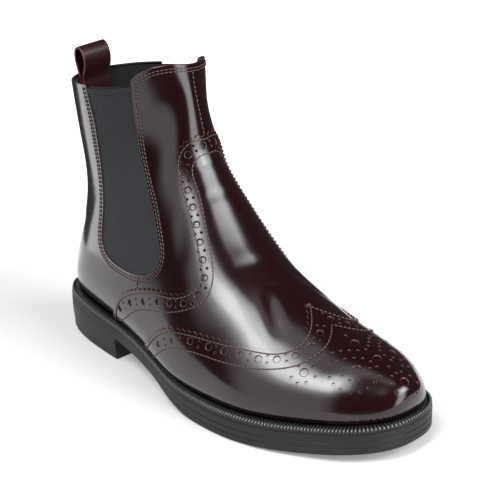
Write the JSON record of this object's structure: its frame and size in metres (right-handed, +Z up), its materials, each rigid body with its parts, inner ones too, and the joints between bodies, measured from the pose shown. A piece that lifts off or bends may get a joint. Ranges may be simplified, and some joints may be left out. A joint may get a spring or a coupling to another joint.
{
  "type": "brogue ankle boot",
  "caption": "Right-foot ankle boot with a punched wing toe cap, elastic side gussets, back pull loop, notched welt and low-heeled rubber sole.",
  "frame": {"origin": "on the ground under the middle of the heel's bottom face", "axes": "+Z up, the toe points to -Y, the inner side of the foot is +X"},
  "size_m": [0.1015, 0.2648, 0.1849],
  "materials": {
    "leather": "glossy polished",
    "elastic": "ribbed matte",
    "rubber": "satin",
    "board": "matte"
  },
  "bodies": {
    "root": {"outsole": "rubber", "heel": "rubber", "welt": "rubber", "insole": "board", "upper": "leather", "vamp_overlay": "leather", "wing_cap": "leather", "gore_outer": "elastic", "gore_inner": "elastic", "pull_loop": "leather"}
  },
  "joints": []
}
